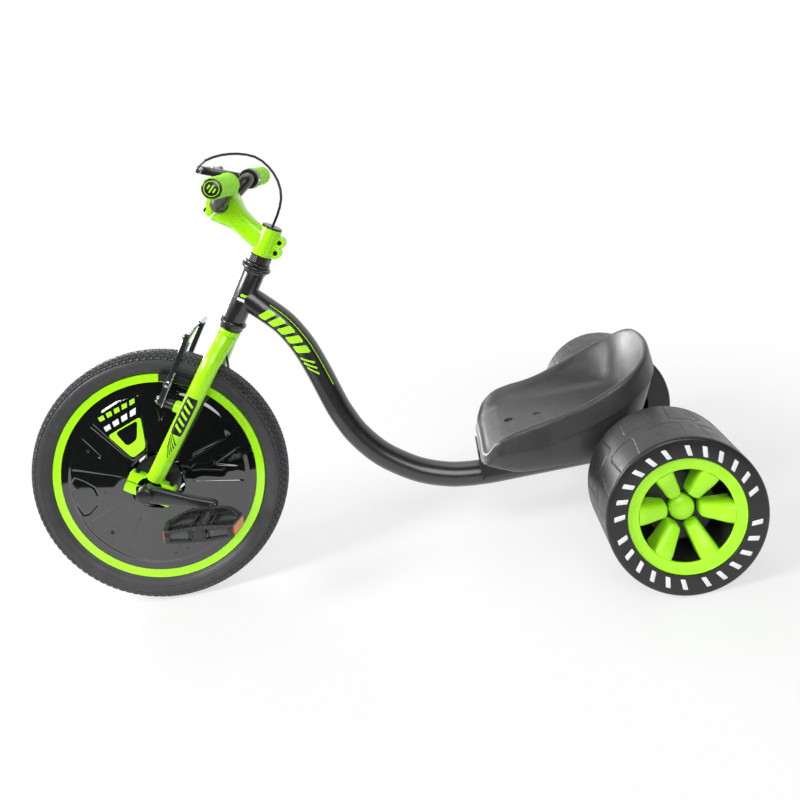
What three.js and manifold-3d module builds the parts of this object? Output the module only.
// A child's drift trike: a driven, braked front wheel in a sloping fork, a low bucket seat on a
// swept tube, and two slick rear wheels. Millimetres, +Z up, the nose towards -X, the ground at Z 0.
import * as THREE from "three";
import { mergeVertices } from "three/addons/utils/BufferGeometryUtils.js";
import Module from "manifold-3d";

const wasm = await Module();
wasm.setup();

// Driving dimensions
const wheelbase = 738;
const frontRadius = 197;
const rearRadius = 104.5;
const rake = THREE.MathUtils.degToRad(34);
const steerOffset = 12.7;
const clear = 0.3;
const running = 0.5;
const overrun = 2;
const ease = 2;
const weld = 0.001;

// Counts of flat sides
const frontSides = 32;
const rearSides = 24;
const tubeSides = 12;
const turnedSides = 14;
const smallSides = 12;
const holeSides = 8;
const cordSides = 8;
const spokeSides = 3;
const nutFlats = 6;

// Front tyre, rim and hub
const tyreHalf = 22;
const tyreShoulderHalf = 18.5;
const treadHalf = 8;
const tyreDepth = 34.1;
const tyreWall = 5;
const rimHalf = 14;
const rimBand = 12.6;
const rimWall = 3;
const rimLedge = 2.8;
const rimCoreDepth = 4;
const rimCoreHalf = 8;
const hubRadius = 16;
const hubEndRadius = 14;
const hubHalf = 38;
const hubFlangeRadius = 24;
const hubFlangeAt = 20;
const hubFlangeThick = 3;
const spokeRadius = 1;
const spokesPerSide = 10;
const spokeLean = THREE.MathUtils.degToRad(28);

// Wheel disc covers
const discThick = 2;
const discEdgeOut = 13.2;
const discFlangeWidth = 13.7;
const discStep = 2;
const discCrown = 26;
const discMouth = 50;
const discLip = 4;
const discLipDrop = 2;
const discMouthFlats = 6;
const pocketCount = 5;
const pocketRadius = 114;
const pocketLength = 46;
const pocketWidth = 30;
const pocketDepth = 1;
const pocketTurn = THREE.MathUtils.degToRad(5);

// Crank set and pedals
const axleRadius = 8.5;
const axleEndRadius = 7;
const axleHalf = 78;
const armInner = 66;
const armThick = 14;
const armBevel = 1.5;
const crankLength = 102;
const crankTurn = THREE.MathUtils.degToRad(21.6);
const armBossRadius = 13.5;
const armEyeRadius = 8.5;
const axleCapRadius = 12;
const axleCapThick = 7;
const axleCapShares = [0.75, 0.8];
const spindleRadius = 5;
const pedalInner = 100;
const pedalWidth = 65;
const pedalWaist = 27;
const pedalThick = 24;
const pedalInnerHalf = 30;
const pedalMiddleHalf = 55;
const pedalOuterHalf = 48;
const pedalWall = 6;
const pedalBarrel = 9.5;
const pedalTilt = THREE.MathUtils.degToRad(6);
const pedalWindowHalf = 6;
const reflectorThick = 3;
const reflectorTall = 13;
const reflectorShare = 0.8;

// Fork, its ends and the bearings in them
const legTopHalf = 16;
const legTopRadius = 14.5;
const legFootRadius = 13;
const crownHeight = 247;
const legShoulderHalf = 38;
const legShoulderDrop = 42;
const legMiddleHalf = 45;
const legMiddleHeight = 129;
const legFootHalf = 52;
const legFootHeight = 14;
const legSweep = 11.7;
const legSteps = 9;
const endInner = 45;
const endThick = 16;
const endLugReach = 36;
const endLugHalf = 16;
const endHousing = 21;
const endBoltAt = 27;
const endBoltHole = 3.2;
const bearingInner = 46;
const bearingThick = 14;
const bearingRadius = 17;
const bossRadius = 9;
const bossInset = 3;
const bossReach = 15;
const pivotAt = 43;
const pivotHeight = 127;
const pivotStud = 4;
const pivotReach = 36;
const steererRadius = 12.7;
const steererBore = 9;
const steererTop = 423;
const raceRadius = 17;
const raceTall = 9.5;

// Head tube and headset
const headBottom = 270;
const headTall = 80;
const headRadius = 17.2;
const headWall = 2.2;
const cupTall = 13;
const cupInsert = 8;
const cupWall = 1.8;
const cupFlangeUpper = 23.5;
const cupFlangeLower = 21;
const cupFlangeTall = 7;
const cupShoulder = 17.6;
const bearingRingWall = 3.6;
const locknutTall = 17;
const locknutFlats = 8;
const locknutRadius = 17;
const locknutWasher = 4;
const locknutWasherRadius = 20;

// Frame tube, rear axle and seat bracket
const frameTubeRadius = 19;
const frameTubeWall = 2;
const frameJoinHeight = 310;
const frameTubeDrop = 6.5;
const frameSpanShares = [
  [0.0802, 0.8659],
  [0.1292, 0.7278],
  [0.1603, 0.5768],
  [0.1865, 0.4301],
  [0.2232, 0.2992],
  [0.2723, 0.1956],
  [0.3233, 0.1266],
  [0.3851, 0.0662],
  [0.4597, 0.0205],
  [0.52, 0.0025],
  [0.56, 0],
  [0.78, 0],
];
const frameTubeSteps = 24;
const axleTubeRadius = 14;
const axleTubeHalf = 140;
const rearShaftRadius = 6;
const rearShaftHalf = 243;
const rearNutRadius = 10;
const rearNutThick = 8;
const bracketThick = 3;
const bracketHalf = 30;
const bracketLength = 128;
const bracketLipTall = 48;
const bracketLead = 7;
const bracketFit = 0.7;
const bracketDrop = 1.6;
const bracketPostShare = 0.148;
const bracketCheekShare = 1.2;

// Seat
const seatFrontShare = 0.6748;
const seatFront = wheelbase * seatFrontShare;
const seatLength = 279;
const seatHalf = 112;
const seatPan = 175;
const seatCrest = 270;
const seatWall = 4;
const seatLipTall = 34;
const seatLipFrontShare = 0.5;
const seatLipReturn = 1.5;
const seatFlare = 3.5;
const seatRoll = 4;
const seatFootInset = 13;
const seatSkirt = 125;
const seatSkirtRise = 18;
const seatRearRake = 34;
const seatInset = 26;
const seatDeepInset = 41.6;
const seatPanShare = 0.6;
const seatRiseShares = [0.04, 0.3, 0.42, 0.7, 0.82];
const seatSlotLength = 14;
const seatSlotHalf = 3;
const seatSlotShares = [0.178, 0.34];
const seatRimPlaces = 36;
// Along the seat, half its width and the height of its rim, as shares of length, half width and crest
const seatRimShares = [
  [0, 0.3, 0.592],
  [0, 0.63, 0.59],
  [0.0215, 0.84, 0.614],
  [0.078, 0.964, 0.674],
  [0.186, 0.984, 0.714],
  [0.371, 0.955, 0.743],
  [0.547, 1, 0.79],
  [0.733, 0.987, 0.857],
  [0.849, 0.906, 0.904],
  [0.932, 0.75, 0.948],
  [0.98, 0.518, 0.981],
  [1, 0.223, 0.996],
];

// Rear wheels
const rearInner = 150;
const rearWidth = 122;
const sleeveEdge = 4.5;
const sleeveBore = 77;
const sleeveWall = 7;
const coreRing = 15;
const coreRecess = 3;
const coreHubDepth = 37;
const coreFloor = 5;
const coreThick = 5;
const corePlateRadius = 46;
const coreWellDepth = 30;
const coreFingers = 6;
const coreFingerTurn = THREE.MathUtils.degToRad(50);
const coreFingerInner = 22;
const coreFingerTip = 19;
const coreFingerWall = 6;
// At each place along a finger, its width and its height as shares of their full sizes
const fingerShares = [
  [0.3, 0.62],
  [0.85, 0.68],
  [1, 0.75],
  [1.227, 1],
];
const fingerCrestShare = 0.72;
const coreBossRadius = 15;
const rearCapRadius = 17;
const rearCapRecess = 23.7;
const rearCapTall = 13;
const rearCapWall = 4;
const rearCapShares = [
  [1, 0],
  [1, 0.4],
  [0.85, 0.75],
  [0.5, 0.95],
  [0, 1],
];

// Stem, handlebar, grips
const stemBottom = 380;
const stemTall = 44;
const stemRadius = 16.5;
const stemEar = 9;
const stemEarReach = 22;
const stemEarSpread = 17;
const stemSlit = 2;
const stemBoltHole = 3.5;
const stemCapTall = 3;
const stemCapRadius = 16;
const barClampBack = 82.7;
const barClampHeight = 431;
const stemFaceTurn = THREE.MathUtils.degToRad(19.4);
const stemFaceBack = 4.3;
const stemFaceHalf = 24;
const stemRootHalf = 14;
const stemFaceUp = 27;
const stemFaceDown = 30;
const stemRootTall = 35.4;
const stemRootDrop = 4.6;
// Along the arm's top, its dip, along its underside, its lift, and the share of the flare
const stemWaistShares = [
  [0, 0, 0, 0, 0],
  [0.3, 0.5, 0.3, 0.35, 0.12],
  [0.62, 0.75, 0.56, 0.7, 0.35],
  [0.84, 0.35, 0.8, 0.33, 0.7],
  [1, 0, 1, 0, 1],
];
const facePlateGap = 3.3;
const facePlateReach = 21;
const facePlateBevel = 1;
const facePlateLug = 9;
const facePlateReliefShare = 0.9;
const barRadius = 11.1;
const barCentreRadius = 14.3;
const barCentreHalf = 28;
const barRiseHalf = 53;
const barRise = 40.7;
const barSweep = 11.2;
const barHalf = 167;
const barBend = 8;
const barBendSteps = 7;
const barBendShare = 0.28;
const barWall = 2;
const gripInner = 79;
const gripLength = 87;
const gripRadius = 15.5;
const gripFlange = 17;
const gripFlangeThick = 4;
const plugRadius = 13.5;
const plugThick = 3.5;
const plugStem = 12;

// Brake lever
const leverTurn = THREE.MathUtils.degToRad(167.6);
const leverClampAt = 60;
const leverClampWide = 16;
const leverClampRadius = 16;
const leverPivotReach = 62;
const leverPivotAt = 79;
const leverPinRadius = 2.5;
const leverEye = 7;
const leverEyeShare = 0.8;
const leverWaistShares = [0.5, 0.85];
const leverThick = 8;
const leverCheek = 3.4;
const leverNose = 84;
const leverNoseInner = 56;
const leverWallThick = 6;
const leverBlade = 7;
const leverBladeAt = 67;
const leverTip = 152;
const leverTail = 12;
const adjusterReach = 76;
const adjusterRadius = 5;
const adjusterLength = 14;
const adjusterNeck = 3.6;

// Brake arms, pads, noodle and cable
const brakeArmFront = 41;
const brakeArmThick = 9;
const brakeArmFoot = 8.5;
const brakeArmTop = 236;
const brakeArmTipHalf = 3.5;
const armWidthShares = [0.8, 0.6, 0.5];
const brakePadGap = 1.8;
const brakePadThick = 9;
const brakePadTall = 11;
const brakePadSpan = THREE.MathUtils.degToRad(17.5);
const brakePadLead = THREE.MathUtils.degToRad(10);
const brakePadPost = 3;
const brakePostDrop = 41;
const brakePostHeight = frontRadius - brakePostDrop;
const noodleRadius = 2.6;
const noodleFerrule = 3.6;
const noodleFerruleLength = 20;
const noodleBoot = 4;
const noodleBootLength = 24;
const noodleLead = 12.5;
const noodleOut = 18;
const noodleTall = 70.5;
const noodleInset = 0.6;
const cordRadius = 2;
const cableSteps = 50;
const noodleSteps = 12;
const cableLoopRise = 72;
const steererTail = 30;
// The cable's loop from the lever to the stem cap: how far back, how far inboard, and its rise
const cableLoopShares = [
  [0, 0, 0],
  [0, 0.074, 0],
  [0, 0.177, 0],
  [0.004, 0.331, 0.038],
  [0.021, 0.455, 0.155],
  [0.062, 0.527, 0.324],
  [0.144, 0.558, 0.522],
  [0.247, 0.588, 0.707],
  [0.398, 0.65, 0.903],
  [0.57, 0.733, 1.031],
  [0.748, 0.835, 0.994],
  [0.885, 0.918, 0.845],
  [0.968, 0.969, 0.613],
  [0.997, 0.994, 0.332],
  [1, 1, 0],
];
// Its fall from the steerer to the bent pipe on the brake
const cableFallShares = [
  [0, 0, 0],
  [-0.005, 0.008, 0.381],
  [-0.053, 0.067, 0.548],
  [-0.143, 0.2, 0.693],
  [-0.232, 0.4, 0.814],
  [-0.297, 0.65, 0.944],
  [-0.297, 0.9, 1.096],
  [-0.199, 1.083, 1.233],
  [0.011, 1.167, 1.328],
  [0.271, 1.175, 1.362],
  [0.53, 1.167, 1.355],
  [0.757, 1.117, 1.309],
  [0.911, 1.058, 1.225],
  [0.984, 1.008, 1.119],
  [1, 1, 1.043],
  [1, 1, 1],
];
const noodleShares = [
  [0, 0, 0],
  [-0.08, 0, 0.145],
  [-0.08, 0, 0.343],
  [0.08, 0, 0.556],
  [0.32, 0.083, 0.755],
  [0.64, 0.278, 0.911],
  [0.92, 0.611, 0.993],
  [1, 1, 1],
];

// Finishes
const lime = { color: 0x7fe80a, roughness: 0.32, metalness: 0.1 };
const gloss = { color: 0x17181a, roughness: 0.25, metalness: 0.2 };
const satin = { color: 0x1c1d1f, roughness: 0.45, metalness: 0.1 };
const rubber = { color: 0x2b2c2e, roughness: 0.85, metalness: 0 };
const moulded = { color: 0x3b3c3e, roughness: 0.7, metalness: 0 };
const steel = { color: 0xc9ccd0, roughness: 0.3, metalness: 0.9 };
const limeGrip = { color: 0x86dd12, roughness: 0.6, metalness: 0 };
const amber = { color: 0xe07b12, roughness: 0.25, metalness: 0 };

// Groups that carry the pieces: the whole trike stands about its own middle
const trike = new THREE.Group();
trike.position.x = -(wheelbase + rearRadius - frontRadius) / 2;

const frontAxle = new THREE.Group();
frontAxle.position.z = frontRadius;
trike.add(frontAxle);

// The fork's own frame: +Z runs up the steering axis, +X back square to it, from the front axle
const fork = new THREE.Group();
fork.position.z = frontRadius;
fork.rotation.y = rake;
trike.add(fork);

const rearAxle = new THREE.Group();
rearAxle.position.set(wheelbase, 0, rearRadius);
trike.add(rearAxle);

// The lever's frame: +X forward from the bar, +Y outboard, +Z down
const leverFrame = new THREE.Group();
const barBack = steerOffset - barClampBack;
const gripBack = barBack + barSweep;
const gripHeight = barClampHeight + barRise;
leverFrame.position.set(gripBack, 0, gripHeight);
leverFrame.rotation.y = leverTurn;
fork.add(leverFrame);

// Turns a geometry into a solid: merges its corners, drops empty faces and makes it face out.
function solid(geometry) {
  const bare = geometry.clone();
  bare.deleteAttribute("normal");
  bare.deleteAttribute("uv");
  const merged = mergeVertices(bare, weld);
  const corners = merged.index.array;
  const faces = [];
  for (let i = 0; i < corners.length; i += 3) {
    const [a, b, c] = [corners[i], corners[i + 1], corners[i + 2]];
    if (a !== b && b !== c && c !== a) faces.push([a, b, c]);
  }
  const made = (list) =>
    new wasm.Manifold(
      new wasm.Mesh({
        numProp: 3,
        vertProperties: Float32Array.from(merged.attributes.position.array),
        triVerts: Uint32Array.from(list.flat()),
      }),
    );
  const first = made(faces);
  if (first.volume() > 0) return first;
  return made(faces.map(([a, b, c]) => [a, c, b]));
}

function join(...solids) {
  return solids.reduce((all, next) => all.add(next));
}

function cut(body, ...tools) {
  return tools.reduce((rest, tool) => rest.subtract(tool), body);
}

// Places one solid as a named mesh in a group.
function piece(name, shape, finish, group) {
  const mesh = shape.getMesh();
  const geometry = new THREE.BufferGeometry();
  const stride = mesh.numProp;
  const corners = new Float32Array(mesh.numVert * 3);
  for (let i = 0; i < mesh.numVert; i++) {
    corners.set(mesh.vertProperties.subarray(i * stride, i * stride + 3), i * 3);
  }
  geometry.setAttribute("position", new THREE.BufferAttribute(corners, 3));
  geometry.setIndex(new THREE.BufferAttribute(mesh.triVerts, 1));
  geometry.computeVertexNormals();
  const made = new THREE.Mesh(geometry, new THREE.MeshStandardMaterial(finish));
  made.name = name;
  group.add(made);
}

// Turns a profile of [radius, place along the axis]; the radii are those of the flats.
// "X", "Y" or "Z" is the axis it lies on; flats face square across it.
function turned(profile, sides, axis = "Y") {
  const grow = 1 / Math.cos(Math.PI / sides);
  const points = profile.map(([r, along]) => new THREE.Vector2(r * grow, along));
  const made = new THREE.LatheGeometry(points, sides, Math.PI / sides);
  if (axis === "Z") made.rotateX(Math.PI / 2);
  if (axis === "X") made.rotateZ(-Math.PI / 2);
  return made;
}

// A round bar along an axis, from one place to another.
function rod(radius, from, to, sides, axis = "Y") {
  const profile = [
    [0, from],
    [radius, from],
    [radius, to],
    [0, to],
  ];
  return turned(profile, sides, axis);
}

// A round tube along an axis.
function tube(outer, inner, from, to, sides, axis = "Y") {
  const profile = [
    [inner, from],
    [outer, from],
    [outer, to],
    [inner, to],
    [inner, from],
  ];
  return turned(profile, sides, axis);
}

// A box between two corners.
function block(x0, x1, y0, y1, z0, z1) {
  const made = new THREE.BoxGeometry(x1 - x0, y1 - y0, z1 - z0);
  return made.translate((x0 + x1) / 2, (y0 + y1) / 2, (z0 + z1) / 2);
}

// A flat outline in X and Z, carried along Y.
function plateY(outline, y0, y1, bevel = 0) {
  const made = new THREE.ExtrudeGeometry(outline, {
    depth: y1 - y0 - 2 * bevel,
    bevelEnabled: bevel > 0,
    bevelThickness: bevel,
    bevelSize: bevel,
    bevelOffset: -bevel,
    bevelSegments: 1,
    curveSegments: smallSides / 3,
  });
  return made.rotateX(Math.PI / 2).translate(0, y1 - bevel, 0);
}

// A flat outline in X and Y, carried along Z.
function plateZ(outline, z0, z1) {
  const made = new THREE.ExtrudeGeometry(outline, {
    depth: z1 - z0,
    bevelEnabled: false,
    curveSegments: smallSides / 3,
  });
  return made.translate(0, 0, z0);
}

function outlineOf(points) {
  return new THREE.Shape(points.map(([x, y]) => new THREE.Vector2(x, y)));
}

// The outline of two round ends joined by tangents.
function taperedLink(r0, length, r1) {
  const lean = Math.acos((r0 - r1) / length);
  const shape = new THREE.Shape();
  shape.absarc(0, 0, r0, lean, 2 * Math.PI - lean, false);
  shape.absarc(length, 0, r1, 2 * Math.PI - lean, lean + 2 * Math.PI, false);
  return shape;
}

// Closes a stack of rings, each with the same number of points, into one skin.
function lofted(rings) {
  const count = rings[0].length;
  const points = rings.flat();
  const middle = (ring) =>
    ring.reduce((sum, p) => sum.add(p), new THREE.Vector3()).divideScalar(count);
  points.push(middle(rings[0]), middle(rings.at(-1)));
  const faces = [];
  for (let i = 0; i < rings.length - 1; i++) {
    for (let j = 0; j < count; j++) {
      const a = i * count + j;
      const b = i * count + ((j + 1) % count);
      faces.push(a, b, a + count, b, b + count, a + count);
    }
  }
  const last = (rings.length - 1) * count;
  for (let j = 0; j < count; j++) {
    const next = (j + 1) % count;
    faces.push(points.length - 2, next, j);
    faces.push(points.length - 1, last + j, last + next);
  }
  const geometry = new THREE.BufferGeometry().setFromPoints(points);
  geometry.setIndex(faces);
  return geometry;
}

// A round bar that changes radius steadily along a curve.
function taperedSweep(curve, startRadius, endRadius, sides, steps) {
  const frames = curve.computeFrenetFrames(steps, false);
  const rings = [];
  for (let i = 0; i <= steps; i++) {
    const centre = curve.getPointAt(i / steps);
    const radius = THREE.MathUtils.lerp(startRadius, endRadius, i / steps);
    const ring = [];
    for (let j = 0; j < sides; j++) {
      const turn = (2 * Math.PI * j) / sides;
      const point = centre.clone();
      point.addScaledVector(frames.normals[i], radius * Math.cos(turn));
      point.addScaledVector(frames.binormals[i], radius * Math.sin(turn));
      ring.push(point);
    }
    rings.push(ring);
  }
  return lofted(rings);
}

// A round bar of one radius along a curve.
function sweep(curve, radius, sides, steps) {
  const section = new THREE.Shape();
  for (let j = 0; j < sides; j++) {
    const turn = (2 * Math.PI * (j + 1 / 2)) / sides;
    const [x, y] = [radius * Math.cos(turn), radius * Math.sin(turn)];
    if (j === 0) section.moveTo(x, y);
    else section.lineTo(x, y);
  }
  section.closePath();
  return new THREE.ExtrudeGeometry(section, { steps, extrudePath: curve, bevelEnabled: false });
}

function curveOf(points, tension = 0.5) {
  const corners = points.map((p) => new THREE.Vector3(...p));
  return new THREE.CatmullRomCurve3(corners, false, "centripetal", tension);
}

// Mirrors a left-hand solid to the right.
function mirrored(geometry) {
  const made = geometry.clone();
  made.scale(1, -1, 1);
  return made;
}

const sides = [
  ["left", -1],
  ["right", 1],
];

// Places that several pieces share, in the fork's frame
const rimOuter = frontRadius - tyreDepth - clear;
const rimInner = rimOuter - rimBand;
const discRadius = rimInner - clear;
const capNose = rearInner + rearWidth - rearCapRecess;
const cupBottom = headBottom - cupTall;
const cupTop = headBottom + headTall;
const locknutBottom = cupTop + cupTall;
const headBore = headRadius - headWall;

function frontTyre() {
  const bead = frontRadius - tyreDepth;
  const belly = bead + tyreDepth / 2;
  const crown = frontRadius - tyreWall;
  const foot = rimHalf - ease;
  const profile = [
    [bead, -foot],
    [belly, -tyreHalf],
    [frontRadius - tyreDepth / 5, -tyreShoulderHalf],
    [frontRadius, -treadHalf],
    [frontRadius, treadHalf],
    [frontRadius - tyreDepth / 5, tyreShoulderHalf],
    [belly, tyreHalf],
    [bead, foot],
    [bead, foot - tyreWall],
    [belly, tyreHalf - tyreWall],
    [crown, treadHalf],
    [crown, -treadHalf],
    [belly, -tyreHalf + tyreWall],
    [bead, -foot + tyreWall],
    [bead, -foot],
  ];
  piece("front_tyre", solid(turned(profile, frontSides)), rubber, frontAxle);
}

function frontRim() {
  const core = rimInner - rimCoreDepth;
  const ledge = rimHalf - rimLedge;
  const trough = rimInner + rimWall;
  const bed = rimHalf - rimWall;
  const profile = [
    [rimOuter, -rimHalf],
    [rimOuter, -bed],
    [trough, -bed],
    [trough, bed],
    [rimOuter, bed],
    [rimOuter, rimHalf],
    [rimInner, rimHalf],
    [rimInner, ledge],
    [core, rimCoreHalf],
    [core, -rimCoreHalf],
    [rimInner, -ledge],
    [rimInner, -rimHalf],
    [rimOuter, -rimHalf],
  ];
  piece("front_rim", solid(turned(profile, frontSides)), lime, frontAxle);
}

// One spoke from the hub flange to the rim, leaning round the wheel.
function spoke(turn, lean, side) {
  const from = new THREE.Vector3(hubFlangeRadius - overrun, side * hubFlangeAt, 0);
  const reach = rimInner - rimCoreDepth - clear;
  const to = new THREE.Vector3(reach * Math.cos(lean), side * spokeRadius, reach * Math.sin(lean));
  const bar = new THREE.CylinderGeometry(spokeRadius, spokeRadius, from.distanceTo(to), spokeSides);
  const along = to.clone().sub(from).normalize();
  const upright = new THREE.Vector3(0, 1, 0);
  bar.applyQuaternion(new THREE.Quaternion().setFromUnitVectors(upright, along));
  bar.translate(...from.add(to).divideScalar(2).toArray());
  return bar.rotateY(-turn);
}

function frontHub() {
  const bore = axleRadius + running;
  const inner = hubFlangeAt - hubFlangeThick / 2;
  const outer = hubFlangeAt + hubFlangeThick / 2;
  const half = [
    [hubRadius, inner],
    [hubFlangeRadius, inner],
    [hubFlangeRadius, outer],
    [hubEndRadius, outer],
    [hubEndRadius, hubHalf],
    [bore, hubHalf],
  ];
  const other = half.map(([r, y]) => [r, -y]).reverse();
  let hub = solid(turned([...other, ...half, other[0]], turnedSides));
  for (const [, side] of sides) {
    for (let i = 0; i < spokesPerSide; i++) {
      const turn = (2 * Math.PI * (i + (1 + side) / 4)) / spokesPerSide;
      const lean = i % 2 === 0 ? spokeLean : -spokeLean;
      hub = hub.add(solid(spoke(turn, lean, side)));
    }
  }
  piece("front_hub", hub, steel, frontAxle);
}

// An arrowhead sunk into a disc's face round one of its screw holes.
function discPocket(turn) {
  const shape = outlineOf([
    [-pocketLength / 2, 0],
    [pocketLength / 2 - pocketWidth / 4, -pocketWidth / 2],
    [pocketLength / 2, 0],
    [pocketLength / 2 - pocketWidth / 4, pocketWidth / 2],
  ]);
  const fall = discCrown - discEdgeOut - discStep;
  const slope = Math.atan2(fall, rimInner - discFlangeWidth - discMouth);
  const face = discCrown - (pocketRadius - discMouth) * Math.tan(slope);
  const pocket = plateY(shape, -pocketDepth, discCrown);
  pocket.rotateZ(-slope);
  return pocket.translate(pocketRadius, face, 0).rotateY(turn);
}

function wheelDisc(name, side) {
  const flange = discRadius - discFlangeWidth;
  const step = flange - discStep;
  const lip = discMouth - discLip;
  const profile = [
    [discRadius, discEdgeOut],
    [flange, discEdgeOut],
    [step, discEdgeOut + discStep],
    [discMouth, discCrown],
    [lip, discCrown - discLipDrop],
    [lip, discCrown - discLipDrop - discThick],
    [step, discEdgeOut + discStep - discThick],
    [discRadius, discEdgeOut - discThick],
    [discRadius, discEdgeOut],
  ];
  let disc = solid(turned(profile, frontSides));
  disc = disc.subtract(solid(rod(discMouth, 0, discCrown + overrun, discMouthFlats)));
  for (let i = 0; i < pocketCount; i++) {
    const turn = pocketTurn + (2 * Math.PI * i) / pocketCount;
    disc = disc.subtract(solid(discPocket(turn)));
  }
  const made = side > 0 ? disc : disc.mirror([0, 1, 0]);
  piece(name, made, gloss, frontAxle);
}

// Crank set: an axle through the hub, an arm on each end, a cap over each arm.
const spindleEnd = pedalInner + pedalWidth - pedalWall;

function crankSet() {
  const seat = armInner - clear;
  const axle = [
    [0, -axleHalf],
    [axleEndRadius, -axleHalf],
    [axleEndRadius, -seat],
    [axleRadius, -seat],
    [axleRadius, seat],
    [axleEndRadius, seat],
    [axleEndRadius, axleHalf],
    [0, axleHalf],
  ];
  piece("crank_axle", solid(turned(axle, turnedSides)), satin, frontAxle);
  for (const [name, side] of sides) {
    const link = taperedLink(armBossRadius, crankLength, armEyeRadius);
    const arm = plateY(link, armInner, armInner + armThick, armBevel);
    const bore = rod(axleEndRadius + clear, armInner - overrun, axleHalf + clear, smallSides);
    const spindle = rod(spindleRadius, armInner + armThick / 2, spindleEnd - clear, smallSides);
    spindle.translate(crankLength, 0, 0);
    const turn = side < 0 ? crankTurn : crankTurn + Math.PI;
    let made = cut(join(solid(arm), solid(spindle)), solid(bore));
    if (side < 0) made = made.mirror([0, 1, 0]);
    const holder = new THREE.Group();
    holder.rotation.y = turn;
    frontAxle.add(holder);
    piece("crank_arm_" + name, made, gloss, holder);
    const capBase = armInner + armThick + clear;
    const cap = [
      [0, capBase],
      [axleCapRadius, capBase],
      [axleCapRadius, capBase + axleCapThick / 3],
      [axleCapRadius * axleCapShares[0], capBase + axleCapThick * axleCapShares[1]],
      [0, capBase + axleCapThick],
    ];
    const capSolid = solid(turned(cap, turnedSides));
    piece("axle_cap_" + name, side > 0 ? capSolid : capSolid.mirror([0, 1, 0]), satin, frontAxle);
    pedal(name, side, turn);
  }
}

// A cage pedal: a waisted outline, two openings beside the spindle barrel, a reflector at each end.
function pedal(name, side, turn) {
  const outer = pedalInner + pedalWidth;
  const waist = pedalInner + pedalWaist;
  const edge = [
    [pedalInnerHalf, pedalInner],
    [pedalMiddleHalf, waist],
    [pedalOuterHalf, outer],
  ];
  const outline = outlineOf([...edge, ...edge.map(([x, y]) => [-x, y]).reverse()]);
  const half = pedalThick / 2;
  const body = solid(plateZ(outline, -half, half));
  const windows = [-1, 1].map((end) => {
    const hole = outlineOf([
      [end * (pedalBarrel + clear), pedalInner + pedalWall],
      [end * (pedalInnerHalf - pedalWall / 2), pedalInner + pedalWall],
      [end * (pedalMiddleHalf - 2 * pedalWall), waist],
      [end * (pedalOuterHalf - 2 * pedalWall), outer - pedalWall],
      [end * (pedalBarrel + clear), outer - pedalWall],
    ]);
    return solid(plateZ(hole, -half - overrun, half + overrun));
  });
  const slots = [-1, 1].map((end) => {
    const near = end * (pedalBarrel + pedalWall / 2);
    const far = end * (pedalOuterHalf - pedalWall);
    const [x0, x1] = end < 0 ? [far, near] : [near, far];
    const [y0, y1] = [outer - pedalWall - overrun, outer + overrun];
    return solid(block(x0, x1, y0, y1, -pedalWindowHalf, pedalWindowHalf));
  });
  const bore = solid(rod(spindleRadius + running, pedalInner - overrun, spindleEnd, smallSides));
  const faceTurn = Math.atan2(pedalMiddleHalf - pedalOuterHalf, outer - waist);
  const faceLength = Math.hypot(pedalMiddleHalf - pedalOuterHalf, outer - waist);
  const glass = (grow) => (end) => {
    const span = (faceLength * reflectorShare) / 2 + grow;
    const tall = reflectorTall / 2 + grow;
    const plate = block(-reflectorThick - grow, grow > 0 ? overrun : 0, -span, span, -tall, tall);
    plate.rotateZ(faceTurn);
    plate.translate((pedalMiddleHalf + pedalOuterHalf) / 2, (outer + waist) / 2, 0);
    if (end < 0) plate.scale(-1, 1, 1);
    return solid(plate);
  };
  const seats = [-1, 1].map(glass(clear));
  const holder = new THREE.Group();
  holder.position.set(crankLength * Math.cos(turn), 0, -crankLength * Math.sin(turn));
  holder.rotation.y = pedalTilt;
  frontAxle.add(holder);
  const place = (shape) => (side > 0 ? shape : shape.mirror([0, 1, 0]));
  piece("pedal_" + name, place(cut(body, ...windows, ...slots, bore, ...seats)), satin, holder);
  const ends = [
    ["front", -1],
    ["rear", 1],
  ];
  for (const [end, way] of ends) {
    piece("pedal_reflector_" + name + "_" + end, place(glass(0)(way)), amber, holder);
  }
}

// The fork end: half of a split clamp round the crank bearing.
function forkEnd(upper) {
  const way = upper ? 1 : -1;
  const y1 = endInner + endThick;
  const lug = new THREE.Shape();
  const corner = endLugHalf / 2;
  lug.moveTo(-endLugReach, way * clear / 2);
  lug.lineTo(endLugReach, way * clear / 2);
  lug.lineTo(endLugReach, way * (endLugHalf - corner));
  lug.lineTo(endLugReach - corner, way * endLugHalf);
  lug.lineTo(-endLugReach + corner, way * endLugHalf);
  lug.lineTo(-endLugReach, way * (endLugHalf - corner));
  const housing = rod(endHousing, endInner, y1, turnedSides);
  const away = block(
    -2 * endHousing,
    2 * endHousing,
    endInner - overrun,
    y1 + overrun,
    upper ? -2 * endHousing : -clear / 2,
    upper ? clear / 2 : 2 * endHousing,
  );
  const seat = rod(bearingRadius + clear, endInner - overrun, y1 + overrun, turnedSides);
  const bolts = [-endBoltAt, endBoltAt].map((w) => {
    const hole = rod(endBoltHole, -2 * endLugHalf, 2 * endLugHalf, holeSides, "Z");
    return solid(hole.translate(w, (endInner + y1) / 2, 0));
  });
  const whole = join(solid(plateY(lug, endInner, y1)), solid(housing));
  return cut(whole, solid(away), solid(seat), ...bolts);
}

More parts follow.
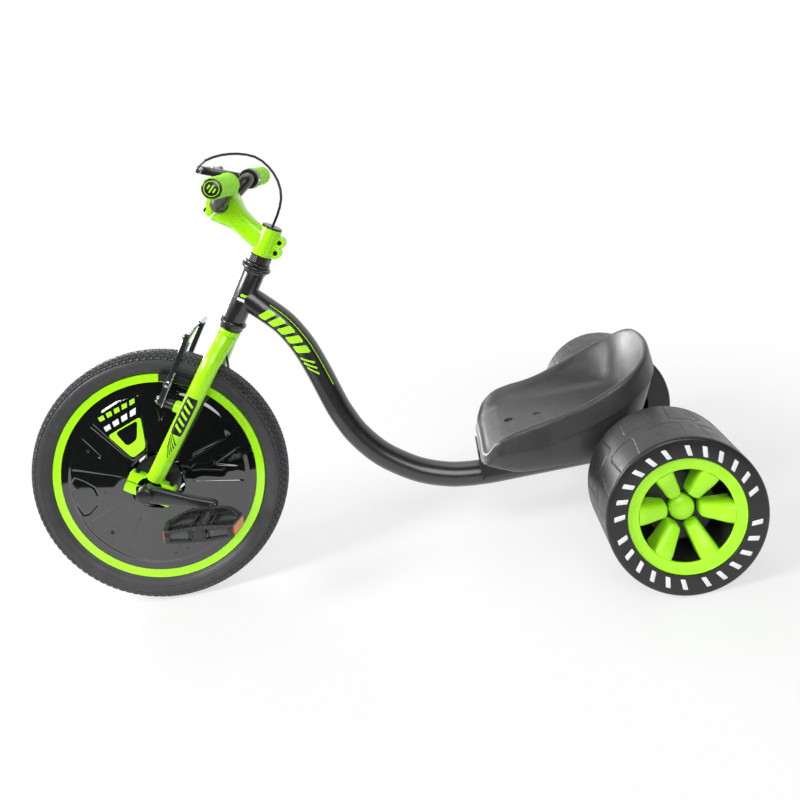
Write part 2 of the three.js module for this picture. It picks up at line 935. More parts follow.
function forkLeg(name, side) {
  const top = steerOffset;
  const curve = curveOf([
    [top, legTopHalf, crownHeight + legTopRadius],
    [top, legTopHalf, crownHeight],
    [top - legSweep / 5, legShoulderHalf, crownHeight - legShoulderDrop],
    [top - legSweep / 2, legMiddleHalf, legMiddleHeight],
    [top - legSweep, legFootHalf, legFootHeight],
  ]);
  const leg = solid(taperedSweep(curve, legTopRadius, legFootRadius, tubeSides, legSteps));
  const reach = crownHeight + 2 * legTopRadius;
  const abovePlane = block(
    top - 2 * legTopRadius,
    top + 2 * legTopRadius,
    -legTopRadius,
    2 * legShoulderHalf,
    crownHeight - clear,
    reach,
  );
  const otherSide = block(
    top - 2 * legTopRadius,
    top + 2 * legTopRadius,
    -2 * legTopRadius,
    clear / 2,
    legMiddleHeight,
    reach,
  );
  const throat = rod(steererBore, legMiddleHeight, reach, smallSides, "Z").translate(top, 0, 0);
  const outerFace = endInner + endThick;
  const bearing = rod(bearingRadius + clear, endInner - overrun, outerFace + overrun, turnedSides);
  const foot = block(
    -2 * endHousing,
    2 * endHousing,
    0,
    2 * legFootHalf,
    -2 * endHousing,
    clear / 2,
  );
  const away = [abovePlane, otherSide, throat, bearing, foot].map(solid);
  const trimmed = cut(leg, ...away);
  const boss = rod(bossRadius, -bossReach, -bossInset, smallSides, "X");
  const stud = rod(pivotStud, -pivotReach, -bossInset, smallSides, "X");
  const pivot = [boss, stud].map((bar) => solid(bar.translate(0, pivotAt, pivotHeight)));
  const made = join(trimmed, forkEnd(true), ...pivot);
  piece("fork_leg_" + name, side > 0 ? made : made.mirror([0, 1, 0]), lime, fork);
  const cap = forkEnd(false);
  piece("fork_cap_" + name, side > 0 ? cap : cap.mirror([0, 1, 0]), lime, fork);
  const y1 = bearingInner + bearingThick;
  const bearingRing = solid(tube(bearingRadius, axleRadius + running, bearingInner, y1, turnedSides));
  piece("crank_bearing_" + name, side > 0 ? bearingRing : bearingRing.mirror([0, 1, 0]), steel, fork);
}

// Turned pieces on the steering axis
function onSteering(name, profile, sideCount, finish) {
  const made = turned(profile, sideCount, "Z").translate(steerOffset, 0, 0);
  piece(name, solid(made), finish, fork);
}

function steering() {
  const race = crownHeight + raceTall;
  onSteering(
    "steerer_tube",
    [
      [steererBore, crownHeight],
      [raceRadius, crownHeight],
      [raceRadius, race - ease],
      [steererRadius, race],
      [steererRadius, steererTop],
      [steererBore, steererTop],
      [steererBore, crownHeight],
    ],
    turnedSides,
    satin,
  );
  onSteering(
    "head_tube",
    [
      [headBore, headBottom],
      [headRadius, headBottom],
      [headRadius, cupTop],
      [headBore, cupTop],
      [headBore, headBottom],
    ],
    turnedSides,
    gloss,
  );
  const ballOuter = steererRadius + bearingRingWall;
  const insert = headBore - clear;
  const insertBore = insert - cupWall;
  const seatRadius = ballOuter + running;
  const bore = Math.max(steererRadius + running, insertBore);
  onSteering(
    "headset_cup_upper",
    [
      [bore, cupTop - cupInsert],
      [insert, cupTop - cupInsert],
      [insert, cupTop + clear],
      [cupShoulder, cupTop + clear],
      [cupFlangeUpper, cupTop + (cupTall - cupFlangeTall) / 2],
      [cupFlangeUpper, cupTop + (cupTall + cupFlangeTall) / 2],
      [cupShoulder + ease, cupTop + cupTall],
      [seatRadius, cupTop + cupTall],
      [seatRadius, cupTop + cupTall / 2],
      [bore, cupTop + cupTall / 2],
      [bore, cupTop - cupInsert],
    ],
    turnedSides,
    gloss,
  );
  onSteering(
    "headset_cup_lower",
    [
      [bore, headBottom + cupInsert],
      [bore, headBottom - cupTall / 2],
      [seatRadius, headBottom - cupTall / 2],
      [seatRadius, cupBottom + clear],
      [cupShoulder, cupBottom + clear],
      [cupFlangeLower, cupBottom + (cupTall - cupFlangeTall) / 2],
      [cupFlangeLower, cupBottom + (cupTall + cupFlangeTall) / 2],
      [cupShoulder, headBottom - clear],
      [insert, headBottom - clear],
      [insert, headBottom + cupInsert],
      [bore, headBottom + cupInsert],
    ],
    turnedSides,
    gloss,
  );
  const ballInner = steererRadius + running;
  const rings = [
    ["headset_bearing_upper", cupTop + cupTall / 2 + clear, cupTop + cupTall - clear],
    ["headset_bearing_lower", cupBottom + clear, headBottom - cupTall / 2 - clear],
  ];
  for (const [name, from, to] of rings) {
    const belly = (to - from) / 4;
    onSteering(
      name,
      [
        [ballInner, from],
        [ballOuter - belly / 2, from],
        [ballOuter, from + belly],
        [ballOuter, to - belly],
        [ballOuter - belly / 2, to],
        [ballInner, to],
        [ballInner, from],
      ],
      turnedSides,
      steel,
    );
  }
  locknut();
  const capBase = stemBottom + stemTall + clear;
  onSteering(
    "stem_top_cap",
    [
      [cordRadius + 2 * clear, capBase],
      [stemCapRadius, capBase],
      [stemCapRadius, capBase + stemCapTall / 2],
      [stemCapRadius - stemCapTall / 2, capBase + stemCapTall],
      [cordRadius + 2 * clear, capBase + stemCapTall],
      [cordRadius + 2 * clear, capBase],
    ],
    turnedSides,
    satin,
  );
}

// The keyed washer and the eight-sided nut above it, threaded on the steerer
function locknut() {
  const base = locknutBottom + clear;
  const top = stemBottom - clear;
  const bore = steererRadius + running;
  const washer = tube(locknutWasherRadius, bore, base, base + locknutWasher, turnedSides, "Z");
  const nut = tube(locknutRadius, bore, base + locknutWasher / 2, top, locknutFlats, "Z");
  const neck = tube(locknutRadius + cupWall, bore, top - locknutTall / 4, top, turnedSides, "Z");
  const made = join(solid(washer), solid(nut), solid(neck));
  const back = -locknutRadius;
  const key = block(back - ease, back + ease, -ease, ease, base, top - locknutTall / 3);
  const moved = made.add(solid(key));
  piece("headset_locknut", moved.translate([steerOffset, 0, 0]), gloss, fork);
}

// Stem: a clamp with two pinch lobes, an arm that flares to the bar, and a bolted faceplate
function stem() {
  const top = stemBottom + stemTall;
  const clamp = rod(stemRadius, stemBottom, top, turnedSides, "Z").translate(steerOffset, 0, 0);
  const lobeBack = steerOffset + stemEarReach;
  const lobeMiddle = (stemBottom + top) / 2 - stemEar / 4;
  const lobes = [-1, 1].map((way) => {
    const lobe = rod(stemEar, -stemEar, stemEar, smallSides);
    return solid(lobe.translate(lobeBack - stemEar / 4, 0, lobeMiddle + (way * stemEarSpread) / 2));
  });
  const web = block(
    steerOffset,
    lobeBack - stemEar / 2,
    -stemEar,
    stemEar,
    lobeMiddle - (stemEarSpread + stemEar) / 2,
    lobeMiddle + (stemEarSpread + stemEar) / 2,
  );
  const slit = block(
    steerOffset,
    lobeBack + 2 * stemEar,
    -stemSlit / 2,
    stemSlit / 2,
    stemBottom - overrun,
    top + overrun,
  );
  const capRoom = rod(stemCapRadius + clear, top, top + 2 * stemCapTall, turnedSides, "Z");
  capRoom.translate(steerOffset, 0, 0);
  const bolts = [-1, 1].map((way) => {
    const hole = rod(stemBoltHole, -2 * stemEar, 2 * stemEar, holeSides);
    return solid(hole.translate(lobeBack - stemEar / 4, 0, lobeMiddle + (way * stemEarSpread) / 2));
  });
  const bore = rod(steererRadius + clear, stemBottom - overrun, top + overrun, turnedSides, "Z");
  bore.translate(steerOffset, 0, 0);
  const barHole = rod(barCentreRadius + clear, -2 * stemFaceHalf, 2 * stemFaceHalf, turnedSides);
  barHole.translate(barBack, 0, barClampHeight);
  const body = join(solid(clamp), solid(web), ...lobes, solid(stemArm()));
  const made = cut(body, solid(bore), solid(slit), solid(barHole), solid(capRoom), ...bolts);
  piece("stem", made, lime, fork);
  piece("stem_faceplate", facePlate().subtract(solid(barHole)), lime, fork);
}

// The arm's sections run from the clamp to the flat face behind the bar.
function stemArm() {
  const face = new THREE.Vector3(Math.cos(stemFaceTurn), 0, -Math.sin(stemFaceTurn));
  const up = new THREE.Vector3(Math.sin(stemFaceTurn), 0, Math.cos(stemFaceTurn));
  const bar = new THREE.Vector3(barBack, 0, barClampHeight);
  const faceAt = bar.clone().addScaledVector(face, stemFaceBack);
  const high = faceAt.clone().addScaledVector(up, stemFaceUp);
  const low = faceAt.clone().addScaledVector(up, -stemFaceDown);
  const rootBack = steerOffset - stemRadius / 2;
  const rootHigh = new THREE.Vector3(rootBack, 0, stemBottom + stemTall - stemRootDrop);
  const rootLow = new THREE.Vector3(rootBack, 0, rootHigh.z - stemRootTall);
  const reachHigh = high.clone().sub(rootHigh);
  const reachLow = low.clone().sub(rootLow);
  const rings = stemWaistShares.map(([along, dip, lowAlong, lift, flare]) => {
    const upper = rootHigh.clone().addScaledVector(reachHigh, along);
    upper.z -= dip * stemEar;
    const lower = rootLow.clone().addScaledVector(reachLow, lowAlong);
    lower.z += lift * stemEar;
    const half = THREE.MathUtils.lerp(stemRootHalf, stemFaceHalf, flare);
    return roundedSection(lower, upper, half);
  });
  return lofted(rings);
}

// A soft-cornered section between two points, reaching a half width to each side.
function roundedSection(lower, upper, half) {
  const middle = lower.clone().add(upper).divideScalar(2);
  const rise = upper.clone().sub(lower).divideScalar(2);
  const squareShare = 0.45;
  const ring = [];
  for (let j = 0; j < turnedSides; j++) {
    const turn = (2 * Math.PI * j) / turnedSides;
    const soft = (v) => Math.sign(v) * Math.abs(v) ** squareShare;
    const point = middle.clone().addScaledVector(rise, soft(Math.sin(turn)));
    point.y = half * soft(Math.cos(turn));
    ring.push(point);
  }
  return ring;
}

// In the faceplate's own outline, X points ahead of the bar and Y up the joint face.
function facePlate() {
  const start = facePlateGap - stemFaceBack;
  const tip = stemFaceUp - ease / 2;
  const outer = facePlateReach;
  const lean = Math.acos(facePlateLug / outer);
  const shape = new THREE.Shape();
  shape.moveTo(start, -tip);
  shape.lineTo(facePlateLug - ease, -tip);
  shape.lineTo(facePlateLug, -tip + ease);
  shape.absarc(0, 0, outer, -lean, lean, false);
  shape.lineTo(facePlateLug, tip - ease);
  shape.lineTo(facePlateLug - ease, tip);
  shape.lineTo(start, tip);
  const half = stemFaceHalf - ease;
  const plate = solid(plateY(shape, -half, half, facePlateBevel));
  const open = barCentreRadius * facePlateReliefShare;
  const relief = solid(block(-barCentreRadius, 2 * facePlateReach, -half / 3, half / 3, -open, open));
  const made = cut(plate, relief);
  const holder = new THREE.Matrix4().makeRotationY(Math.PI + stemFaceTurn);
  const flipped = new THREE.Matrix4().makeTranslation(barBack, 0, barClampHeight).multiply(holder);
  return made.transform(flipped.toArray());
}

function handlebar() {
  const at = (x, y, z) => new THREE.Vector3(x, y, z);
  const rise = (share) =>
    at(
      THREE.MathUtils.lerp(barBack, gripBack, share),
      THREE.MathUtils.lerp(barCentreHalf, barRiseHalf, share),
      THREE.MathUtils.lerp(barClampHeight, gripHeight, share),
    );
  const straight = leverClampAt - 2 * ease;
  const corners = [at(barBack, barCentreHalf - barBend, barClampHeight), at(gripBack, straight, gripHeight)];
  const lower = new THREE.QuadraticBezierCurve3(corners[0], rise(0), rise(barBendShare));
  const upper = new THREE.QuadraticBezierCurve3(rise(1 - barBendShare), rise(1), corners[1]);
  const reach = barHalf - plugStem - ease;
  const bars = sides.flatMap(([, side]) => {
    const path = new THREE.CurvePath();
    path.add(lower);
    path.add(new THREE.LineCurve3(lower.v2, upper.v0));
    path.add(upper);
    const bend = sweep(path, barRadius, smallSides, barBendSteps);
    const run = rod(barRadius, straight - ease / 2, barHalf, turnedSides);
    run.translate(gripBack, 0, gripHeight);
    return [bend, run].map((g) => solid(side > 0 ? g : mirrored(g)));
  });
  const centre = [
    [0, -barCentreHalf],
    [barRadius, -barCentreHalf],
    [barCentreRadius, -barCentreHalf + 2 * ease],
    [barCentreRadius, barCentreHalf - 2 * ease],
    [barRadius, barCentreHalf],
    [0, barCentreHalf],
  ];
  const bulge = solid(turned(centre, turnedSides).translate(barBack, 0, barClampHeight));
  const sockets = sides.map(([, side]) => {
    const from = side * reach;
    const to = side * (barHalf + overrun);
    const socket = rod(barRadius - barWall, Math.min(from, to), Math.max(from, to), holeSides);
    return solid(socket.translate(gripBack, 0, gripHeight));
  });
  piece("handlebar", cut(join(bulge, ...bars), ...sockets), satin, fork);
}

function gripAndPlug(name, side) {
  const outer = gripInner + gripLength;
  const bore = barRadius + clear;
  const profile = [
    [bore, gripInner],
    [gripFlange, gripInner],
    [gripFlange, gripInner + gripFlangeThick],
    [gripRadius, gripInner + gripFlangeThick + ease],
    [gripRadius - ease / 2, (gripInner + outer) / 2],
    [gripRadius, outer - ease],
    [gripRadius - ease / 2, outer],
    [bore, outer],
    [bore, gripInner],
  ];
  const place = (geometry) => {
    const made = solid(geometry);
    const way = side > 0 ? made : made.mirror([0, 1, 0]);
    return way.translate([gripBack, 0, gripHeight]);
  };
  piece("grip_" + name, place(turned(profile, turnedSides)), limeGrip, fork);
  const base = barHalf + clear;
  const plug = [
    [0, base - plugStem],
    [barRadius - barWall - clear, base - plugStem],
    [barRadius - barWall - clear, base],
    [plugRadius, base],
    [plugRadius, base + plugThick / 2],
    [plugRadius - plugThick / 3, base + plugThick],
    [0, base + plugThick],
  ];
  piece("bar_plug_" + name, place(turned(plug, turnedSides)), satin, fork);
}

// Brake lever: a perch clamped on the bar, a blade on a pin, an adjuster for the cable
function brakeLever() {
  const clampEnd = leverClampAt + leverClampWide;
  const depth = leverThick / 2 + leverCheek;
  const slotHalf = leverThick / 2 + clear;
  const wall = leverNoseInner + leverWallThick;
  const collar = solid(rod(leverClampRadius, leverClampAt, clampEnd, turnedSides));
  const outline = outlineOf([
    [0, leverClampAt + ease],
    [leverPivotReach * leverWaistShares[0], leverClampAt],
    [leverPivotReach * leverWaistShares[1], leverNoseInner],
    [leverNose, leverNoseInner],
    [leverNose, leverNoseInner + leverClampWide],
    [leverPivotReach + leverEye, leverPivotAt + leverEye * leverEyeShare],
    [leverPivotReach, leverPivotAt + leverEye + ease],
    [leverPivotReach - leverEye, leverPivotAt + leverEye * leverEyeShare],
    [leverPivotReach - 2 * leverEye, clampEnd - ease],
    [0, clampEnd - ease],
  ]);
  const arm = solid(plateZ(outline, -depth, depth));
  const slot = block(
    leverPivotReach - leverEye - 2 * clear,
    leverNose + overrun,
    wall,
    leverPivotAt + 3 * leverEye,
    -slotHalf,
    slotHalf,
  );
  const bore = rod(barRadius + clear, leverClampAt - overrun, clampEnd + overrun, turnedSides);
  const pinHole = rod(leverPinRadius + clear, -2 * depth, 2 * depth, smallSides, "Z");
  pinHole.translate(leverPivotReach, leverPivotAt, 0);
  const adjusterHole = rod(adjusterNeck + clear, leverNoseInner - overrun, wall + overrun, smallSides);
  adjusterHole.translate(adjusterReach, 0, 0);
  const mount = cut(join(collar, arm), solid(slot), solid(bore), solid(pinHole), solid(adjusterHole));
  piece("lever_mount", mount, satin, leverFrame);
  const head = depth + ease / 2;
  const pin = rod(leverPinRadius, -head, head, smallSides, "Z");
  piece("lever_pin", solid(pin.translate(leverPivotReach, leverPivotAt, 0)), steel, leverFrame);
  piece("brake_lever", leverBladeSolid(), satin, leverFrame);
  const barrel = [
    [cordRadius + running, leverNoseInner - adjusterLength],
    [adjusterRadius, leverNoseInner - adjusterLength],
    [adjusterRadius, leverNoseInner - clear],
    [adjusterNeck, leverNoseInner - clear],
    [adjusterNeck, wall],
    [cordRadius / 2, wall],
    [cordRadius / 2, leverNoseInner - adjusterLength / 2],
    [cordRadius + running, leverNoseInner - adjusterLength / 2],
    [cordRadius + running, leverNoseInner - adjusterLength],
  ];
  const adjuster = turned(barrel, smallSides).translate(adjusterReach, 0, 0);
  piece("barrel_adjuster", solid(adjuster), steel, leverFrame);
}

// The blade's outline follows the middle line of the lever, with an eye at the pin and a round tip.
function leverBladeSolid() {
  const half = leverBlade / 2;
  const span = leverTip - leverPivotAt;
  const bladeShares = [
    [leverPivotReach, 0],
    [leverBladeAt - ease / 2, 0.2],
    [leverBladeAt + ease, 0.45],
    [leverBladeAt, 0.75],
    [leverBladeAt + ease, 1],
  ];
  const spine = bladeShares.map(([x, share]) => [x, leverPivotAt + share * span]);
  const ahead = spine.map(([x, y]) => [x + half, y]);
  const behind = spine.map(([x, y]) => [x - half, y]).reverse();
  const thick = leverThick / 2;
  const blade = solid(plateZ(outlineOf([...ahead, ...behind]), -thick, thick));
  const eye = rod(leverEye, -thick, thick, smallSides, "Z");
  eye.translate(leverPivotReach, leverPivotAt, 0);
  const tip = rod(half + ease / 2, -thick, thick, smallSides, "Z");
  tip.translate(spine.at(-1)[0], leverTip, 0);
  const tail = solid(
    plateZ(
      outlineOf([
        [leverPivotReach, leverPivotAt - leverEye],
        [leverPivotReach + leverTail, leverPivotAt - leverEye - ease],
        [leverPivotReach + leverTail + ease, leverPivotAt],
        [leverPivotReach, leverPivotAt + leverEye],
      ]),
      -thick,
      thick,
    ),
  );
  const hole = rod(leverPinRadius + clear, -2 * thick, 2 * thick, smallSides, "Z");
  hole.translate(leverPivotReach, leverPivotAt, 0);
  return cut(join(blade, solid(eye), solid(tip), tail), solid(hole));
}

// Where the cable leaves the adjuster, enters the cap, leaves the steerer and meets the pipe
const noodleEnd = new THREE.Vector3(
  -brakeArmFront + brakeArmThick / 2,
  pivotAt - ease / 2,
  brakeArmTop + clear + noodleBoot,
);
const noodleFoot = new THREE.Vector3(
  noodleEnd.x - noodleLead,
  noodleEnd.y + noodleOut,
  noodleEnd.z - noodleTall,
);
const cableStart = new THREE.Vector3(
  gripBack + adjusterReach * Math.cos(leverTurn),
  leverNoseInner - adjusterLength / 2 - clear,
  gripHeight - adjusterReach * Math.sin(leverTurn),
);
const cableCap = new THREE.Vector3(steerOffset, 0, stemBottom + stemTall + stemCapTall);
const cableThroat = new THREE.Vector3(steerOffset, 0, headBottom + steererTail);
const cableEnd = noodleFoot.clone();
cableEnd.z -= noodleInset + 2 * clear;

// A point between two places, by a share of the way along each axis
function between(from, to, [x, y, z]) {
  return [
    THREE.MathUtils.lerp(from.x, to.x, x),
    THREE.MathUtils.lerp(from.y, to.y, y),
    THREE.MathUtils.lerp(from.z, to.z, z),
  ];
}

function brakeCable() {
  const loop = cableLoopShares.map(([back, inboard, rise]) => {
    const [x, y, z] = between(cableStart, cableCap, [back, inboard, back]);
    return [x, y, z + rise * cableLoopRise];
  });
  const fall = cableFallShares.map((shares) => between(cableThroat, cableEnd, shares));
  const inside = [steerOffset, 0, stemBottom];
  const curve = curveOf([...loop, inside, ...fall]);
  piece("brake_cable", solid(sweep(curve, cordRadius, cordSides, cableSteps)), satin, fork);
}

// Brake arms stand on the fork's studs; each holds a pad post through a hole above the stud.
function brakeArm(name, side) {
  const rearFace = -brakeArmFront + brakeArmThick;
  const armOutline = outlineOf([
    [pivotAt - brakeArmFoot, pivotHeight],
    [pivotAt - brakeArmFoot * armWidthShares[0], pivotHeight + brakeArmFoot],
    [pivotAt - brakeArmFoot * armWidthShares[1], brakePostHeight],
    [pivotAt - brakeArmTipHalf - ease, brakeArmTop - ease],
    [pivotAt - brakeArmTipHalf, brakeArmTop],
    [pivotAt + brakeArmTipHalf, brakeArmTop],
    [pivotAt + brakeArmTipHalf, brakeArmTop - ease],
    [pivotAt + brakeArmFoot * armWidthShares[2], brakePostHeight],
    [pivotAt + brakeArmFoot, pivotHeight + brakeArmFoot],
    [pivotAt + brakeArmFoot, pivotHeight],
  ]);
  const outline = plateZ(armOutline, -brakeArmFront, rearFace);
  outline.applyMatrix4(new THREE.Matrix4().set(0, 0, 1, 0, 1, 0, 0, 0, 0, 1, 0, 0, 0, 0, 0, 1));
  const barrel = rod(brakeArmFoot, -brakeArmFront, -bossReach - clear, smallSides, "X");
  barrel.translate(0, pivotAt, pivotHeight);
  const hole = rod(pivotStud + clear, -brakeArmFront - overrun, -bossReach + overrun, smallSides, "X");
  hole.translate(0, pivotAt, pivotHeight);
  const middle = -brakeArmFront + brakeArmThick / 2;
  const post = rod(brakePadPost + clear, 0, 2 * pivotAt, smallSides).translate(middle, 0, brakePostHeight);
  const made = cut(join(solid(outline), solid(barrel)), solid(hole), solid(post));
  piece("brake_arm_" + name, side > 0 ? made : made.mirror([0, 1, 0]), satin, fork);
  brakePad(name, side, middle);
  if (side > 0) noodle();
}

// The pad's block follows the rim's side; its post goes out through the arm.
function brakePad(name, side, middle) {
  const padRadius = Math.hypot(middle, brakePostHeight);
  const postTurn = Math.atan2(brakePostHeight, middle);
  const shoe = new THREE.Shape();
  const inner = padRadius - brakePadTall / 2;
  const outer = padRadius + brakePadTall / 2;
  const from = postTurn - brakePadLead;
  const to = from + brakePadSpan;
  shoe.absarc(0, 0, outer, from, to, false);
  shoe.absarc(0, 0, inner, to, from, true);
  const face = rimHalf + brakePadGap;
  const pad = plateY(shoe, face, face + brakePadThick);
  const reach = pivotAt + brakeArmFoot;
  const stand = pivotAt - brakeArmFoot - clear;
  const post = rod(brakePadPost, face + brakePadThick / 2, reach, smallSides);
  const washer = rod(2 * brakePadPost, face + brakePadThick, stand, smallSides);
  const held = [post, washer].map((bar) => solid(bar.translate(middle, 0, brakePostHeight)));
  const made = join(solid(pad), ...held);
  piece("brake_pad_" + name, side > 0 ? made : made.mirror([0, 1, 0]), rubber, fork);
}

// The bent pipe that turns the cable over to the arms, with its ferrule, bracket and rubber boot
function noodle() {
  const curve = curveOf(noodleShares.map((shares) => between(noodleFoot, noodleEnd, shares)));
  const pipe = sweep(curve, noodleRadius, cordSides, noodleSteps);
  const ferrule = rod(noodleFerrule, -noodleInset, noodleFerruleLength, smallSides, "Z");
  ferrule.translate(noodleFoot.x, noodleFoot.y, noodleFoot.z);
  const tip = noodleEnd.y;
  const profile = [
    [0, tip - noodleBootLength],
    [noodleRadius, tip - noodleBootLength],
    [noodleBoot, tip - noodleBootLength / 2],
    [noodleBoot, tip + ease],
    [0, tip + ease],
  ];
  const boot = turned(profile, cordSides).translate(noodleEnd.x, 0, noodleEnd.z);
  piece("cable_noodle", join(solid(pipe), solid(ferrule), solid(boot)), steel, fork);
}

// Frame: the swept tube from the head tube to the rear axle tube
function frameTube() {
  const start = new THREE.Vector3(steerOffset, 0, frameJoinHeight);
  start.applyAxisAngle(new THREE.Vector3(0, 1, 0), rake);
  start.z += frontRadius;
  const level = rearRadius - frameTubeDrop;
  const route = frameSpanShares.map(([along, up]) => [
    THREE.MathUtils.lerp(start.x, wheelbase, along),
    0,
    THREE.MathUtils.lerp(level, start.z, up),
  ]);
  const curve = curveOf([start.toArray(), ...route, [wheelbase, 0, level]]);
  const [main, bore] = [frameTubeRadius, frameTubeRadius - frameTubeWall].map((radius) =>
    solid(sweep(curve, radius, tubeSides, frameTubeSteps)),
  );
  const head = rod(headRadius + clear, headBottom - headTall, headBottom + 2 * headTall, turnedSides, "Z");
  head.translate(steerOffset, 0, 0).rotateY(rake).translate(0, 0, frontRadius);
  const axle = rod(axleTubeRadius + clear, -2 * frameTubeRadius, 2 * frameTubeRadius, turnedSides);
  axle.translate(wheelbase, 0, rearRadius);
  const pieces = cut(main, bore, solid(head), solid(axle)).decompose();
  const largest = pieces.reduce((a, b) => (a.volume() > b.volume() ? a : b));
  piece("frame_tube", largest, gloss, trike);
}

function rearFrame() {
  const pipe = tube(axleTubeRadius, rearShaftRadius + clear, -axleTubeHalf, axleTubeHalf, turnedSides);
  piece("rear_axle_tube", solid(pipe), gloss, rearAxle);
  const shaft = rod(rearShaftRadius, -rearShaftHalf, rearShaftHalf, smallSides);
  piece("rear_axle", solid(shaft), steel, rearAxle);
}

// A folded plate under the seat: a top, two cheeks beside the tube and a lip ahead of the seat
function seatBracket() {
  const level = rearRadius - frameTubeDrop;
  const underPan = seatPan - seatWall - bracketDrop;
  const x0 = seatFront - bracketLead;
  const x1 = x0 + bracketLength;
  const front = seatFront + seatLength * bracketPostShare;
  const inner = frameTubeRadius + clear;
  const cheekTop = level + bracketCheekShare * frameTubeRadius;
  const cheeks = sides.flatMap(([, side]) => {
    const [y0, y1] = [side * inner, side * (inner + bracketThick)].sort((a, b) => a - b);
    return [block(x0, x1, y0, y1, level, cheekTop), block(front, x1, y0, y1, level, underPan)];
  });
  const top = block(front, x1, -bracketHalf, bracketHalf, underPan - bracketThick, underPan);
  const lip = block(x0, x0 + bracketThick, -bracketHalf, bracketHalf, level, level + bracketLipTall);
  const seat = rod(inner + bracketFit, x0 - overrun, x0 + 2 * bracketThick, turnedSides, "X");
  const [z0, z1] = [underPan - 2 * bracketThick, underPan + overrun];
  const slots = seatSlotShares.map((share) => seatSlot(share, z0, z1));
  const saddled = cut(solid(lip), solid(seat.translate(0, 0, level)));
  const folded = join(saddled, ...cheeks.map(solid), solid(top));
  piece("seat_bracket", cut(folded, ...slots), satin, trike);
}

// A bolt slot with round ends, across the seat's pan and the bracket under it
function seatSlot(share, z0, z1) {
  const x = seatFront + seatLength * share;
  const reach = seatSlotLength / 2 - seatSlotHalf;
  const slot = new THREE.Shape();
  slot.absarc(x + reach, 0, seatSlotHalf, -Math.PI / 2, Math.PI / 2, false);
  slot.absarc(x - reach, 0, seatSlotHalf, Math.PI / 2, (3 * Math.PI) / 2, false);
  return solid(plateZ(slot, z0, z1));
}

// The seat's rim, once round, with the outward direction in plan at each place
function seatRim() {
  const one = seatRimShares.map(([along, across, up]) => [
    seatFront + along * seatLength,
    across * seatHalf,
    up * seatCrest,
  ]);
  const other = one.map(([x, y, z]) => [x, -y, z]).reverse();
  const corners = [...one, ...other].map((p) => new THREE.Vector3(...p));
  const curve = new THREE.CatmullRomCurve3(corners, true, "centripetal");
  const places = [];
  for (let i = 0; i < seatRimPlaces; i++) {
    const share = (i + 1 / 2) / seatRimPlaces;
    const point = curve.getPointAt(share);
    const along = curve.getTangentAt(share);
    const out = new THREE.Vector2(-along.y, along.x).normalize();
    const middle = new THREE.Vector2(point.x - seatFront - seatLength / 2, point.y);
    if (out.dot(middle) < 0) out.negate();
    places.push({ point, out });
  }
  return places;
}

function seatShell() {
  const rim = seatRim();
  const centre = new THREE.Vector2(seatFront + seatLength / 2, 0);
  const underside = (z) => z - seatWall;
  const along = (p) => (p.x - seatFront) / seatLength;
  const skirtEnd = (p) => seatSkirt + seatSkirtRise * (2 * along(p) - 1) ** 4;
  // Each ring: how far in from the rim, and its height there
  const inset = (reach, height) =>
    rim.map(({ point, out }) => {
      const x = point.x - out.x * reach;
      const y = point.y - out.y * reach;
      return new THREE.Vector3(x, y, height(point));
    });
  const shrunk = (share, height) =>
    inset(seatDeepInset, height).map((p) => {
      const x = centre.x + (p.x - centre.x) * share;
      return new THREE.Vector3(x, p.y * share, p.z);
    });
  // The skirt's foot, drawn forward towards the back of the seat
  const foot = (reach) =>
    inset(reach, skirtEnd).map((p, i) => {
      const lean = THREE.MathUtils.smoothstep(along(rim[i].point), 1 / 2, 1);
      return new THREE.Vector3(p.x - seatRearRake * lean, p.y, p.z);
    });
  const upTo = (share) => (p) => seatPan + (p.z - seatPan) * share;
  const lipShare = (p) => THREE.MathUtils.smoothstep(along(p), 0, 1 / 3);
  const lipTall = (p) => seatLipTall * THREE.MathUtils.lerp(seatLipFrontShare, 1, lipShare(p));
  const lipDrop = (p) => Math.max(p.z - lipTall(p), skirtEnd(p) + ease);
  const underLip = (p) => upTo(seatRiseShares[3])(p) - 2 * seatWall;
  const rings = [
    shrunk(seatPanShare, upTo(0)),
    inset(seatDeepInset, upTo(seatRiseShares[0])),
    inset(seatInset, upTo(seatRiseShares[2])),
    inset(seatInset / 2, upTo(seatRiseShares[4])),
    inset(seatRoll, (p) => p.z),
    inset(0, (p) => p.z - seatRoll),
    inset(-seatFlare, lipDrop),
    inset(seatLipReturn - seatFlare, lipDrop),
    foot(seatFootInset),
    foot(seatFootInset + seatWall),
    inset(2 * seatWall, lipDrop),
    inset(seatInset / 2 + seatWall, underLip),
    inset(seatInset + seatWall, (p) => underside(upTo(seatRiseShares[1])(p))),
    inset(seatDeepInset, (p) => underside(upTo(seatRiseShares[0])(p))),
    shrunk(seatPanShare, (p) => underside(upTo(0)(p))),
  ];
  const shell = solid(lofted(rings));
  const [z0, z1] = [seatPan - 3 * seatWall, seatPan + 3 * seatWall];
  const slots = seatSlotShares.map((share) => seatSlot(share, z0, z1));
  piece("seat_shell", cut(shell, ...slots), moulded, trike);
}

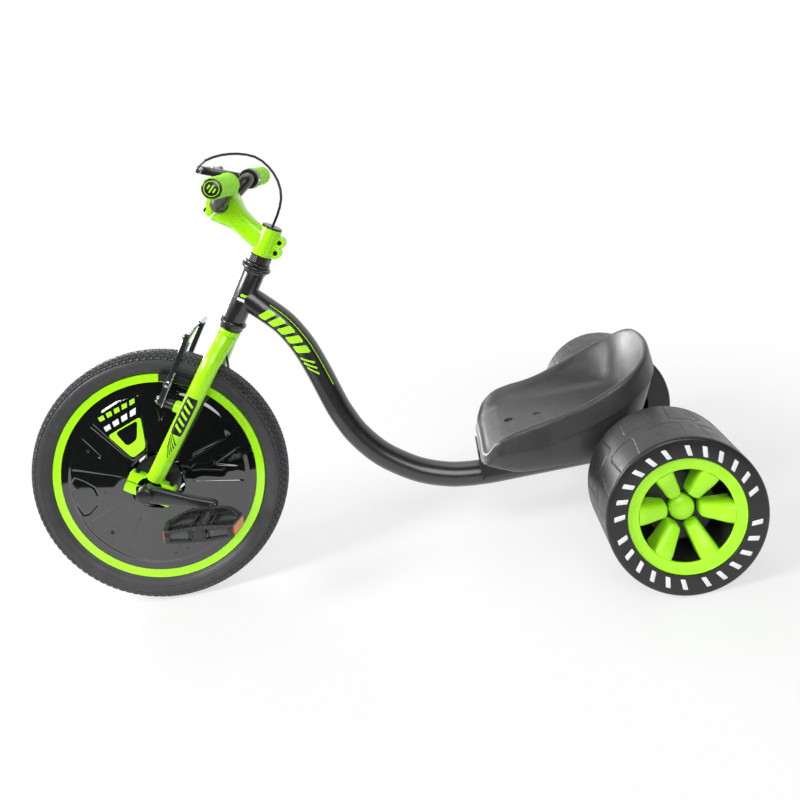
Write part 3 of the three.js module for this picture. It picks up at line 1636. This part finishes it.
// Rear wheels: a hard slick sleeve on a six-fingered core, a domed cap over the axle's end
function rearWheel(name, side) {
  const outer = rearInner + rearWidth;
  const floor = outer - coreHubDepth;
  const well = floor - coreWellDepth;
  const pocket = outer - coreRecess - coreThick - clear;
  const wellOuter = sleeveBore - coreRing + ease + clear;
  const bore = rearShaftRadius + clear;
  const sleeve = [
    [rearRadius - sleeveEdge, rearInner],
    [rearRadius, rearInner + sleeveEdge],
    [rearRadius, outer - sleeveEdge],
    [rearRadius - sleeveEdge, outer],
    [sleeveBore, outer],
    [sleeveBore, pocket],
    [wellOuter, pocket],
    [wellOuter, well],
    [corePlateRadius, well],
    [corePlateRadius, floor],
    [bore, floor],
    [bore, rearInner + coreRecess],
    [coreBossRadius, rearInner + coreRecess],
    [coreBossRadius, floor - coreFloor],
    [corePlateRadius - coreFloor, floor - coreFloor],
    [corePlateRadius - coreFloor, well - coreFloor],
    [wellOuter + coreFloor, well - coreFloor],
    [wellOuter + coreFloor, pocket - coreFloor],
    [sleeveBore + sleeveWall, pocket - coreFloor],
    [sleeveBore + sleeveWall, outer - sleeveWall],
    [rearRadius - sleeveWall, outer - sleeveWall],
    [rearRadius - sleeveWall, rearInner + coreFloor],
    [wellOuter, rearInner + coreFloor],
    [wellOuter, rearInner],
    [rearRadius - sleeveEdge, rearInner],
  ];
  const place = (shape) => (side > 0 ? shape : shape.mirror([0, 1, 0]));
  piece("rear_sleeve_" + name, place(solid(turned(sleeve, rearSides))), moulded, rearAxle);
  piece("rear_wheel_core_" + name, place(rearCore()), lime, rearAxle);
  const base = capNose - rearCapTall;
  const cap = [
    [0, base + rearCapTall - rearCapWall],
    [rearNutRadius + ease, base + rearCapTall - rearCapWall],
    [rearNutRadius + ease, base],
    ...rearCapShares.map(([out, up]) => [rearCapRadius * out, base + rearCapTall * up]),
  ];
  piece("rear_cap_" + name, place(solid(turned(cap, turnedSides))), lime, rearAxle);
  const nut = tube(rearNutRadius, rearShaftRadius + clear, base, base + rearNutThick, nutFlats);
  piece("axle_nut_" + name, place(solid(nut)), steel, rearAxle);
}

function rearCore() {
  const outer = rearInner + rearWidth;
  const face = outer - coreRecess;
  const floor = outer - coreHubDepth;
  const rim = sleeveBore - clear;
  const ringInner = rim - coreRing;
  const profile = [
    [rim, face - coreThick],
    [rim, face],
    [ringInner, face],
    [ringInner, face - coreThick],
    [rim, face - coreThick],
  ];
  let core = solid(turned(profile, rearSides));
  for (let i = 0; i < coreFingers; i++) {
    const turn = coreFingerTurn + (2 * Math.PI * i) / coreFingers;
    core = core.add(solid(coreFinger(face, floor, ringInner).rotateY(-turn)));
  }
  return core;
}

// One finger: full height at the ring, sloping down to a round tip near the hub.
function coreFinger(face, floor, ringInner) {
  const tipRadius = coreFingerInner / 2;
  const tip = coreFingerTip + tipRadius;
  const rootHalf = tipRadius * fingerShares[fingerShares.length - 1][0];
  const root = Math.sqrt((ringInner + ease) ** 2 - rootHalf ** 2);
  const places = [coreFingerTip, coreFingerTip + tipRadius / 2, tip, root];
  const rings = places.map((r, i) => {
    const [wide, tall] = fingerShares[i];
    const half = wide * tipRadius;
    const top = floor + (face - floor) * tall;
    const shoulder = top - coreFingerWall;
    const low = floor;
    return [
      [low, -half],
      [shoulder, -half],
      [top, -half * fingerCrestShare],
      [top, half * fingerCrestShare],
      [shoulder, half],
      [low, half],
    ].map(([y, z]) => new THREE.Vector3(r, y, z));
  });
  return lofted(rings);
}

frontTyre();
frontRim();
frontHub();
wheelDisc("wheel_disc_left", -1);
wheelDisc("wheel_disc_right", 1);
crankSet();
for (const [name, side] of sides) {
  forkLeg(name, side);
  gripAndPlug(name, side);
  brakeArm(name, side);
  rearWheel(name, side);
}
steering();
stem();
handlebar();
brakeLever();
brakeCable();
frameTube();
rearFrame();
seatBracket();
seatShell();

export default trike;
